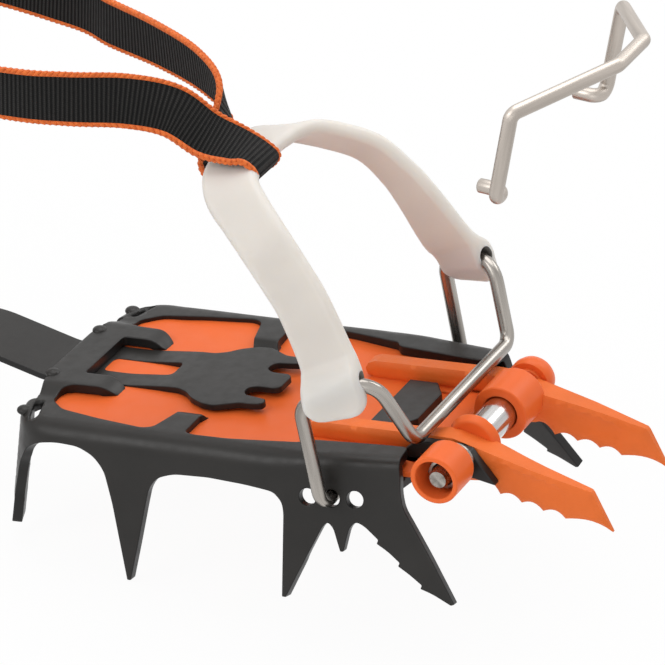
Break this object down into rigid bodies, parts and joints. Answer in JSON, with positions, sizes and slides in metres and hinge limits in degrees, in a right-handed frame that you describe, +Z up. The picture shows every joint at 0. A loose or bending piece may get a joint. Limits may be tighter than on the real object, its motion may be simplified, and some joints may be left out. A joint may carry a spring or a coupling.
{
  "type": "mountaineering crampon",
  "caption": "Adjustable mountaineering crampon: a toothed front frame with bolted front points and a flexible toe bail, a linking bar, and a heel with a lever and an ankle strap.",
  "frame": {"origin": "on the ground, halfway along and across the crampon", "axes": "+X to the toe, +Y to the wearer's left, +Z up from the tooth tips"},
  "size_m": [0.3513, 0.1036, 0.1818],
  "materials": {
    "coated_steel": "satin black coating",
    "orange_paint": "fine-textured orange powder coat",
    "bright_steel": "satin",
    "orange_plastic": "satin",
    "milky_plastic": "milky and satin",
    "black_plastic": "satin",
    "webbing": "ribbed webbing with orange edges"
  },
  "bodies": {
    "front": {"front_rail_left": "coated_steel", "front_rail_right": "coated_steel", "front_brace_left": "coated_steel", "front_brace_right": "coated_steel", "rear_corner_left": "coated_steel", "rear_corner_right": "coated_steel", "toe_panel_left": "coated_steel", "toe_panel_right": "coated_steel", "rear_bridge": "coated_steel", "cross_member": "coated_steel", "front_antisnow_plate": "orange_plastic", "front_point_left": "orange_paint", "front_point_right": "orange_paint", "axle_bolt": "bright_steel", "axle_nut": "bright_steel", "axle_spacer": "bright_steel", "axle_washers": "bright_steel", "linking_bar": "coated_steel", "ankle_strap": "webbing"},
    "toe_bail": {"toe_bail_wire": "bright_steel", "toe_band": "milky_plastic"},
    "heel_section": {"heel_frame": "coated_steel", "heel_antisnow_plate": "orange_plastic", "bar_guide": "coated_steel", "guide_rivets": "bright_steel", "latch_pin": "bright_steel"},
    "length_latch": {"latch_lever": "orange_plastic", "latch_spring": "bright_steel"},
    "heel_bail": {"heel_bail_wire": "bright_steel"},
    "heel_lever": {"heel_lever": "black_plastic", "adjust_screw": "bright_steel", "strap_slider": "black_plastic"},
    "adjust_wheel": {"adjust_wheel": "orange_plastic"},
    "spare_bail": {"spare_toe_bail": "bright_steel"}
  },
  "joints": [
    {"name": "toe_bail_pivot", "type": "hinge", "parent": "front", "child": "toe_bail", "pos_m": [0.09811, 0, 0.04344], "axis": [0, 1, 0], "range_deg": [-40, 2], "deforming": ["ankle_strap"]},
    {"name": "heel_slide", "type": "slide", "parent": "front", "child": "heel_section", "axis": [1, 0, 0], "range_m": [-0.016, 0.016], "deforming": ["ankle_strap"]},
    {"name": "latch_pivot", "type": "hinge", "parent": "heel_section", "child": "length_latch", "pos_m": [-0.10464, 0, 0.0362], "axis": [0, 1, 0], "range_deg": [0, 16]},
    {"name": "heel_bail_pivot", "type": "hinge", "parent": "heel_section", "child": "heel_bail", "pos_m": [-0.12464, 0, 0.0386], "axis": [0, 1, 0], "range_deg": [-35, 8], "deforming": ["ankle_strap"]},
    {"name": "heel_lever_pivot", "type": "hinge", "parent": "heel_bail", "child": "heel_lever", "pos_m": [-0.16664, 0, 0.0686], "axis": [0, 1, 0], "range_deg": [-75, 0], "deforming": ["ankle_strap"]},
    {"name": "adjust_wheel_turn", "type": "hinge", "parent": "heel_lever", "child": "adjust_wheel", "pos_m": [-0.16664, 0, 0.0886], "axis": [0, 0, 1], "continuous": true},
    {"name": "spare_bail_lift", "type": "slide", "parent": "front", "child": "spare_bail", "axis": [0, 0, 1], "range_m": [0, 0.06]}
  ]
}
